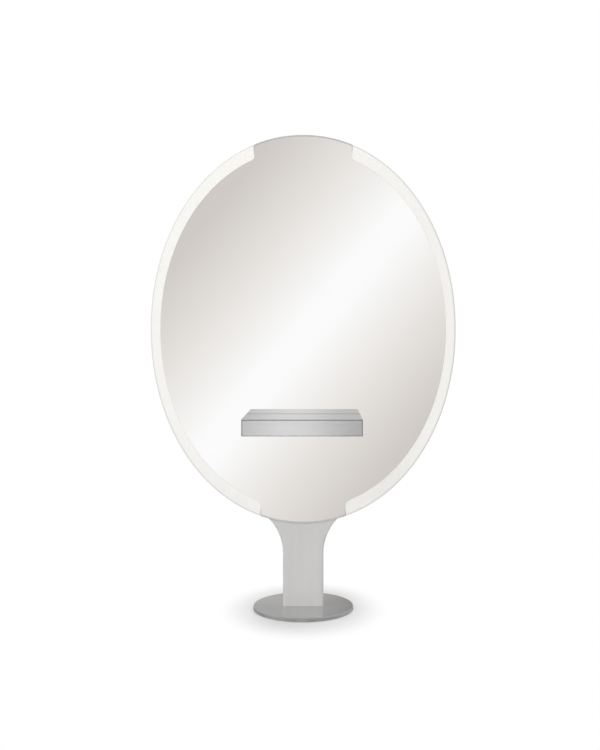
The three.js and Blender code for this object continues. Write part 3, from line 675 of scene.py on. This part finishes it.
def light_lens(name):
    """An opal trough around the side edge, open towards the frame behind it."""
    outer, inner = band_outline(OVAL, LIGHT_OVAL, LIGHT_END_TOP, LIGHT_END_BOTTOM, LIGHT_CORNERS)
    rounds = [LENS_ROUND] * len(outer) + [ARRIS] * len(inner)
    lens = plate(name, outer + inner, -HALF_BODY, HALF_BODY, rounds, "opal", "opal", LENS_ROUND_STEPS)
    ends = (LIGHT_END_TOP + LENS_WALL, LIGHT_END_BOTTOM + LENS_WALL)
    walled = inset(OVAL, LENS_WALL)
    lip = inset(LIGHT_OVAL, -LENS_LIP)
    behind = inset(LIGHT_OVAL, LIGHT_CORNERS[1])
    room = sum(band_outline(walled, lip, *ends, (LENS_WALL, LIGHT_CORNERS[1] - LENS_LIP)), [])
    mouth = sum(band_outline(walled, behind, *ends, (LENS_WALL, LENS_WALL)), [])
    return carve(lens, "DIFFERENCE", prism(room, HALF_BODY - LENS_WALL), prism(mouth, GLASS_BACK))


def edge_trim(name, end, upper):
    """A metal channel that closes the body between the ends of the light bands."""
    turn = 1 if upper else -1
    end = end - FIT

    def arc(oval):
        angle = oval_angle(oval, end)
        return [(x, turn * z) for x, z in oval_arc(oval, angle, math.pi - angle, OVAL_STEPS // 3)]

    outer, inner = arc(OVAL), arc(inset(OVAL, TRIM_FACE))[::-1]
    rounds = [TRIM_ROUND] * len(outer) + [TRIM_EDGE] * len(inner)
    trim = plate(name, outer + inner, -HALF_BODY, HALF_BODY, rounds, "edge_metal", "edge_metal")
    web = arc(inset(OVAL, TRIM_WEB))
    depth = [(x * CUT_PAST_ENDS, z - turn * 2 * TRIM_FACE) for x, z in web[::-1]]
    trim = carve(trim, "DIFFERENCE", prism(web + depth, GLASS_BACK))
    if not upper:
        gap = Vector((FIT, FIT, 0))
        below = Vector((0, 0, OVAL_Z))
        post = bar("cutter", POST_LOW - gap - below, POST_HIGH + gap, "edge_metal")
        trim = carve(trim, "DIFFERENCE", post)
    return trim


# Pieces of the pedestal
def stem_half_width(z):
    rise = max(0.0, z - FLARE_START)
    return STEM_HALF_WIDTH + FLARE_RADIUS - math.sqrt(FLARE_RADIUS ** 2 - rise ** 2)


def saddle(x):
    """The height where the pedestal meets the underside of the oval."""
    return OVAL_Z - oval_drop(inset(OVAL, -FIT), x)


def stem_cover(name):
    """One folded cover: a section with round corners, widened along the flare up to the oval."""
    depth = -STEM_LOW.y
    seam = -STEM_HIGH.y
    bend = [
        (STEM_CORNER * (1 - math.cos(turn)), depth - STEM_CORNER * (1 - math.sin(turn)))
        for turn in spread(0, math.pi / 2, ROUND_STEPS)
    ]
    right = [(0.0, seam)] + bend
    flats = [(column + 1) / STEM_FRONT_COLUMNS for column in range(STEM_FRONT_COLUMNS)]

    def section(z):
        half = stem_half_width(z)
        side = [(half - narrowed, -y) for narrowed, y in right]
        middle = [((half - STEM_CORNER) * (1 - part), -depth) for part in flats]
        half_front = side + middle
        return half_front + [(-x, y) for x, y in half_front[-2::-1]]

    def top_of(column):
        low, high = FLARE_START, FLARE_START + FLARE_REACH * FLARE_RADIUS
        for _ in range(HALVINGS):
            z = (low + high) / 2
            if z < saddle(section(z)[column][0]):
                low = z
            else:
                high = z
        return low

    columns = len(section(FLARE_START))
    tops = [top_of(column) for column in range(columns)]
    bm = bmesh.new()
    rows = [[bm.verts.new((x, y, STEM_LOW.z)) for x, y in section(STEM_LOW.z)]]
    for part in spread(0, 1, STEM_ROWS):
        heights = [FLARE_START + (top - FLARE_START) * part for top in tops]
        rows.append([bm.verts.new((*section(z)[i], z)) for i, z in enumerate(heights)])
    for below, above in zip(rows, rows[1:]):
        for i in range(columns - 1):
            bm.faces.new((below[i], below[i + 1], above[i + 1], above[i]))
    cover = new_piece(name, bm, "stem_lacquer")
    sheet = cover.modifiers.new("sheet", "SOLIDIFY")
    sheet.thickness = STEM_SHEET
    sheet.offset = -1
    sheet.use_even_offset = True
    return cover


def base_cover(name):
    """A shallow dish with a rounded rim, pierced for the post."""
    radius = TOP_OF_FOOT.x
    top = TOP_OF_FOOT.z
    rim = [
        (radius - FOOT_ROUND * (1 - math.cos(turn)), top - FOOT_ROUND * (1 - math.sin(turn)))
        for turn in spread(0, math.pi / 2, FOOT_ROUND_STEPS)
    ]
    inside = radius - FOOT_SHEET
    ceiling = top - FOOT_SHEET
    hole = (POST_HIGH.x + FIT, POST_HIGH.y + FIT)

    def hole_point(turn, height):
        across, along = math.cos(turn), math.sin(turn)
        reach = min(hole[0] / max(abs(across), TINY), hole[1] / max(abs(along), TINY))
        return (across * reach, along * reach, height)

    profile = [(inside, ceiling), (inside, 0.0), (radius, 0.0), *rim]
    bm = bmesh.new()
    turns = [2 * math.pi * (i + 0.5) / FOOT_STEPS for i in range(FOOT_STEPS)]
    rings = [[bm.verts.new((r * math.cos(t), r * math.sin(t), z)) for t in turns] for r, z in profile]
    rings.insert(0, [bm.verts.new(hole_point(t, ceiling)) for t in turns])
    rings.append([bm.verts.new(hole_point(t, top)) for t in turns])
    rings.append(rings[0])
    rim_rings = range(len(profile) - len(rim), len(profile))
    for level, (inner, outer) in enumerate(zip(rings, rings[1:])):
        for i in range(FOOT_STEPS):
            face = bm.faces.new((inner[i - 1], inner[i], outer[i], outer[i - 1]))
            face.material_index = 1 if level in rim_rings else 0
    return new_piece(name, bm, "polished_steel", "rim")


# Pieces of the shelf boxes
def brush(piece):
    """Gives the faces of a sheet piece the grain that suits their direction."""
    for finish in ("brushed_steel_top", "brushed_steel_side"):
        piece.data.materials.append(FINISHES[finish])
    for face in piece.data.polygons:
        across, along, up = (abs(part) for part in face.normal)
        face.material_index = 1 if up > max(across, along) else 2 if across > along else 0
    return piece


def shelf_shade_bead(name):
    """A thin grey bead that closes the joint between a shelf box and its mirror; its dark grey is painted
    shade along that contact line.
    """
    proud = Vector((SHADE_BEAD_PROUD, 0, SHADE_BEAD_PROUD))
    low, high = CASE_LOW - proud, CASE_HIGH + proud
    low.y, high.y = GLASS_LOW.y - SHADE_BEAD_WIDTH, GLASS_LOW.y
    bead = bar(name, low, high, "bead_shade", SHADE_BEAD_PROUD / 2, SHADE_BEAD_STEPS)
    inner_low, inner_high = CASE_LOW.copy(), CASE_HIGH.copy()
    inner_high.y = 0.0
    return carve(bead, "DIFFERENCE", bar("cutter", inner_low, inner_high, "bead_shade"))


def shelf_box(name):
    """A folded sheet box, open at the front, with a finger slot behind the drawer front."""
    inside = Vector((SHEET, SHEET, SHEET))
    box = bar(name, CASE_LOW, CASE_HIGH, "brushed_steel", SHEET_BEND)
    past_front = CASE_LOW.y - HALF_BODY
    hollow_low, hollow_high = CASE_LOW + inside, CASE_HIGH - inside
    hollow = bar("cutter", (hollow_low.x, past_front, hollow_low.z), hollow_high, "brushed_steel")
    slot_low = (hollow_low.x, PAN_HIGH.y, CASE_LOW.z - SHEET)
    slot_high = (hollow_high.x, CASE_LOW.y + FINGER_REACH, hollow_low.z + SHEET)
    slot = bar("cutter", slot_low, slot_high, "brushed_steel")
    rim = BEZEL_RIM - FIT
    seat_low = Vector((HOUSING_LOW.x + rim, HOUSING_LOW.y + rim, CASE_LOW.z - SHEET))
    seat_high = Vector((HOUSING_HIGH.x - rim, HOUSING_HIGH.y - rim, hollow_low.z + SHEET))
    seat = bar("cutter", seat_low, seat_high, "brushed_steel")
    box = carve(box, "DIFFERENCE", hollow, slot, seat)
    back = (CASE_HIGH.y - 2 * SHEET, CASE_HIGH.y + SHEET)
    holes = through_holes(BOLT_RADIUS + FIT, *back, "brushed_steel")
    return brush(carve(box, "DIFFERENCE", *holes))


def drawer_face(name):
    """A folded pan, hung a little low in its opening, with two posts behind it that hold the tray."""
    hung = Vector((0, 0, -DRAWER_DROP))
    pan_low, pan_high = PAN_LOW + hung, PAN_HIGH + hung
    pan = bar(name, pan_low, pan_high, "brushed_steel", SHEET_BEND)
    inside = Vector((SHEET, SHEET, SHEET))
    hollow_high = pan_high - inside
    hollow_high.y = 0.0
    pan = carve(pan, "DIFFERENCE", bar("cutter", pan_low + inside, hollow_high, "brushed_steel"))
    middle = (PAN_LOW.z + PAN_HIGH.z) / 2
    for side in (-1, 1):
        at = (side * (PAN_HIGH.x - BOSS_FROM_END), middle)
        boss = post_rod("boss", BOSS_RADIUS, at, PAN_LOW.y + SHEET / 2, PAN_HIGH.y, "brushed_steel")
        pan = carve(pan, "UNION", boss)
    return brush(pan)


# Dressing: each new piece rides on a body and stands for its solid if it has one
HALF_TURN = Matrix.Rotation(math.pi, 4, "Z")
TO_LEFT = Matrix.Scale(-1, 4, Vector((1, 0, 0)))


def dress(piece, node, body):
    shade(piece)
    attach(piece, body)
    if node:
        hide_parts(node)


def dress_both(piece, other, nodes, bodies):
    for made, node, body in zip((piece, other), nodes, bodies):
        dress(made, node, body)


STATION_TWICE = ("station", "station")
lens = light_lens("lens_right")
other_lens = copy_of(lens, "lens_left", TO_LEFT)
dress_both(lens, other_lens, ("light_lens_right", "light_lens_left"), STATION_TWICE)
dress(edge_trim("trim_top", LIGHT_END_TOP, True), "edge_trim_top", "station")
dress(edge_trim("trim_bottom", LIGHT_END_BOTTOM, False), "edge_trim_bottom", "station")
dress(base_cover("foot_cover"), "base_cover", "station")

PAIRS = (
    ("glass", mirror_glass, "mirror", STATION_TWICE, "mirror"),
    ("stem", stem_cover, "stem_cover", STATION_TWICE, "stem_lacquer"),
    ("shelf_box", shelf_box, "shelf_case", STATION_TWICE, "brushed_steel"),
    ("drawer_face", drawer_face, "drawer_front", ("front_drawer", "rear_drawer"), "brushed_steel"),
)
for label, make, node, bodies, slot in PAIRS:
    front = make(f"{label}_front")
    rear = copy_of(front, f"{label}_rear", HALF_TURN)
    dress_both(front, rear, (f"{node}_front", f"{node}_rear"), bodies)

bead = shelf_shade_bead("shelf_seal_front")
other_bead = copy_of(bead, "shelf_seal_rear", HALF_TURN)
dress_both(bead, other_bead, (None, None), STATION_TWICE)


# The solids that show as they are, and those inside
SOLID_FINISHES = {
    "floor_plate": "frame_steel", "cable_gland": "black_plastic", "post_tube": "frame_steel",
    "stem_bracket": "zinc_steel", "frame_half": "frame_steel", "frame_splice": "zinc_steel",
    "crossbar": "frame_steel", "led_strip": "circuit", "led_driver": "white_plastic",
    "junction_box": "black_plastic", "led_lead": "wire", "backing_board": "fibreboard",
    "shelf_bolt": "zinc_steel", "drawer_tray": "zinc_steel", "runner": "zinc_steel",
    "switch_housing": "black_plastic", "switch_rocker": "black_plastic", "switch_lead": "wire",
}
for node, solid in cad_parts.items():
    for start, finish in SOLID_FINISHES.items():
        if node.startswith(start):
            solid.data.materials.clear()
            solid.data.materials.append(FINISHES[finish])


# Floor and lamps
LIT_POINT = (0, 0, 0.9)
FLOOR_SIZE = 40.0
FLOOR_COLOURS = (0.80595, 0.81)  # hardly clouded
# The fade leaves the floor grey in an oval around the foot: a painted shadow halo, with the real shadow
# inside it.
FLOOR_FADE = (0.17, 0.35)  # where it starts to fade to white, and where it is white
FLOOR_FADE_SHAPE = (1, 0.78, 1)  # the fade is an oval, longer from front to rear


def floor_finish():
    """A pale floor that fades to white for the camera away from the object, leaving grey floor around the
    foot as a painted shadow halo.
    """
    made = Finish("pale_floor", Roughness=0.9)
    made.colour(made.noise(0.7), (0.3, FLOOR_COLOURS[0]), (0.7, FLOOR_COLOURS[1]))
    fade = made.step(made.reach(FLOOR_FADE_SHAPE), *FLOOR_FADE)
    seen = made.math("MULTIPLY", made.add("LightPath").outputs["Is Camera Ray"], fade)
    mixed = made.add("MixShader")
    made.link(seen, mixed, 0)
    made.link(made.shader.outputs[0], mixed, 1)
    made.link(made.add("Emission").outputs[0], mixed, 2)
    made.link(mixed.outputs[0], made.tree.nodes["Material Output"], "Surface")
    return made.material


def make_floor():
    bm = bmesh.new()
    half = FLOOR_SIZE / 2
    corners = ((-half, -half), (half, -half), (half, half), (-half, half))
    bm.faces.new([bm.verts.new((x, y, 0)) for x, y in corners])
    FINISHES["floor"] = floor_finish()
    floor = new_piece("floor", bm, "floor")
    floor.visible_glossy = False


def softbox(name, at, size, watts):
    """A square lamp that faces the station. Glossy surfaces don't show it."""
    data = bpy.data.lights.new(name, "AREA")
    data.shape = "RECTANGLE"
    data.size, data.size_y = size, size
    data.energy = watts
    lamp = bpy.data.objects.new(name, data)
    lamp.location = at
    lamp.rotation_euler = (Vector(LIT_POINT) - Vector(at)).to_track_quat("-Z", "Y").to_euler()
    lamp.visible_glossy = False
    scene.collection.objects.link(lamp)


# The studio, by direction. Glossy surfaces see a bright diagonal sweep that fades to warm grey on both
# sides, alike from both faces of the station. Above it is a ceiling with a bright strip in front, grey at
# the rear, and bright at the sides and overhead. Below it is a dark foreground with a bright strip and
# lighter sides, down to a pale floor, and a mirror sees only that floor. The camera sees plain white.
SWEEP = (0.766, 0.643, 0.0109)  # across, up and offset
SWEEP_STOPS = (
    (0.0, (1.0, 1.0, 1.0)), (0.015, (0.985, 0.985, 0.985)), (0.045, (0.917, 0.895, 0.880)),
    (0.084, (0.811, 0.775, 0.752)), (0.144, (0.654, 0.616, 0.592)), (0.35, (0.57, 0.54, 0.52)),
    (0.60, (0.80, 0.80, 0.79)), (1.0, (0.45, 0.44, 0.43)),
)
STRIP_AT, STRIP_REACH = -0.029, 0.068
SIDE_FROM, SIDE_TO = 0.20, 0.50
# The ceiling
CEILING_FROM, CEILING_TO = 0.21, 0.26
STRIP_ABOVE, BESIDE_ABOVE, SIDE_ABOVE = 1.60, 0.53, 0.90
REAR_FROM, REAR_TO, REAR_LEFT, REAR_RIGHT = -0.03, 0.06, 0.48, 0.27
FRONT_TO_REAR = 0.3
OVERHEAD_FROM, OVERHEAD_TO, OVERHEAD = 0.36, 0.60, 1.0
# The foreground and the pale floor
LOW_FROM, LOW_TO = -0.24, -0.19
STRIP_BELOW, BESIDE_BELOW = 4.5, 0.05
SIDE_BELOW_LEFT, SIDE_BELOW_RIGHT = 0.75, 0.55
FLOOR_FROM, FLOOR_TO, PALE_END = -0.52, -0.38, 0.75
# The light on matt surfaces, and what metal sends on to them
DIFFUSE_FRONT, DIFFUSE_LEFT, DIFFUSE_RIGHT = 0.96, 0.56, 0.30
BEYOND_FROM, BEYOND_TO = 0.3, 0.8
BOUNCE_LIGHT = 1.5
ONCE = 0.5  # more than no bounce, less than one
# The sockets of a Mix node that take and give colours
MIX_FACTOR, MIX_FIRST, MIX_SECOND, MIX_RESULT = 0, 6, 7, 2


class Studio(Finish):
    """The world's nodes, with the same short ways to add them."""

    def __init__(self):
        world = bpy.data.worlds.new("studio")
        world.use_nodes = True
        self.tree = world.node_tree
        self.shader = self.tree.nodes["Background"]
        scene.world = world

    def mix(self, factor, first, second):
        node = self.add("Mix", data_type="RGBA")
        self.link(factor, node, MIX_FACTOR)
        for socket, value in ((MIX_FIRST, first), (MIX_SECOND, second)):
            if isinstance(value, float):
                node.inputs[socket].default_value = (value, value, value, 1)
            else:
                self.link(value, node, socket)
        return node.outputs[MIX_RESULT]


def make_studio():
    made = Studio()
    towards = made.add("SeparateXYZ")
    made.link(made.add("TexCoord").outputs["Generated"], towards, "Vector")
    x, y, z = (towards.outputs[axis] for axis in "XYZ")
    across, up, offset = SWEEP
    faced = made.math("MULTIPLY", x, made.math("MULTIPLY", made.math("SIGN", y), -1.0))
    slant = made.math("SUBTRACT", made.math("MULTIPLY", faced, across), made.math("MULTIPLY", z, up))
    sweep = made.ramp(made.math("ABSOLUTE", made.math("ADD", slant, offset)), *SWEEP_STOPS)
    aside = made.math("ABSOLUTE", made.math("SUBTRACT", faced, STRIP_AT))
    beside = made.step(aside, 0.0, STRIP_REACH)
    low_front = made.mix(beside, STRIP_BELOW, BESIDE_BELOW)
    low_side = made.mix(made.step(faced, -SIDE_FROM, SIDE_FROM), SIDE_BELOW_LEFT, SIDE_BELOW_RIGHT)
    near_floor = made.mix(made.step(aside, SIDE_FROM, SIDE_TO), low_front, low_side)
    low_panel = made.mix(made.step(z, FLOOR_FROM, FLOOR_TO), PALE_END, near_floor)
    ceiling_front = made.mix(beside, STRIP_ABOVE, BESIDE_ABOVE)
    ceiling_rear = made.mix(made.step(x, REAR_FROM, REAR_TO), REAR_LEFT, REAR_RIGHT)
    far_ceiling = made.mix(made.step(y, -FRONT_TO_REAR, FRONT_TO_REAR), ceiling_front, ceiling_rear)
    wide_ceiling = made.mix(made.step(aside, SIDE_FROM, SIDE_TO), far_ceiling, SIDE_ABOVE)
    ceiling = made.mix(made.step(z, OVERHEAD_FROM, OVERHEAD_TO), wide_ceiling, OVERHEAD)
    upper = made.mix(made.step(z, CEILING_FROM, CEILING_TO), sweep, ceiling)
    path = made.add("LightPath")
    low = made.mix(path.outputs["Is Singular Ray"], low_panel, PALE_END)
    reflected = made.mix(made.step(z, LOW_FROM, LOW_TO), low, upper)
    mirrored = made.math("MAXIMUM", path.outputs["Is Glossy Ray"], path.outputs["Is Transmission Ray"])
    bounced = made.math("GREATER_THAN", path.outputs["Diffuse Depth"], ONCE)
    beyond = made.mix(made.step(x, BEYOND_FROM, BEYOND_TO), DIFFUSE_LEFT, DIFFUSE_RIGHT)
    diffuse = made.mix(made.math("ABSOLUTE", x), DIFFUSE_FRONT, beyond)
    lit = made.mix(mirrored, diffuse, made.mix(bounced, reflected, BOUNCE_LIGHT))
    made.link(made.mix(path.outputs["Is Camera Ray"], lit, 1.0), made.shader, "Color")


make_floor()
make_studio()
softbox("key", at=(-2.2, -3.0, 3.4), size=2.4, watts=46)
softbox("fill", at=(2.6, -2.4, 2.2), size=2.0, watts=6)
softbox("back", at=(1.6, 3.2, 3.2), size=2.4, watts=36)
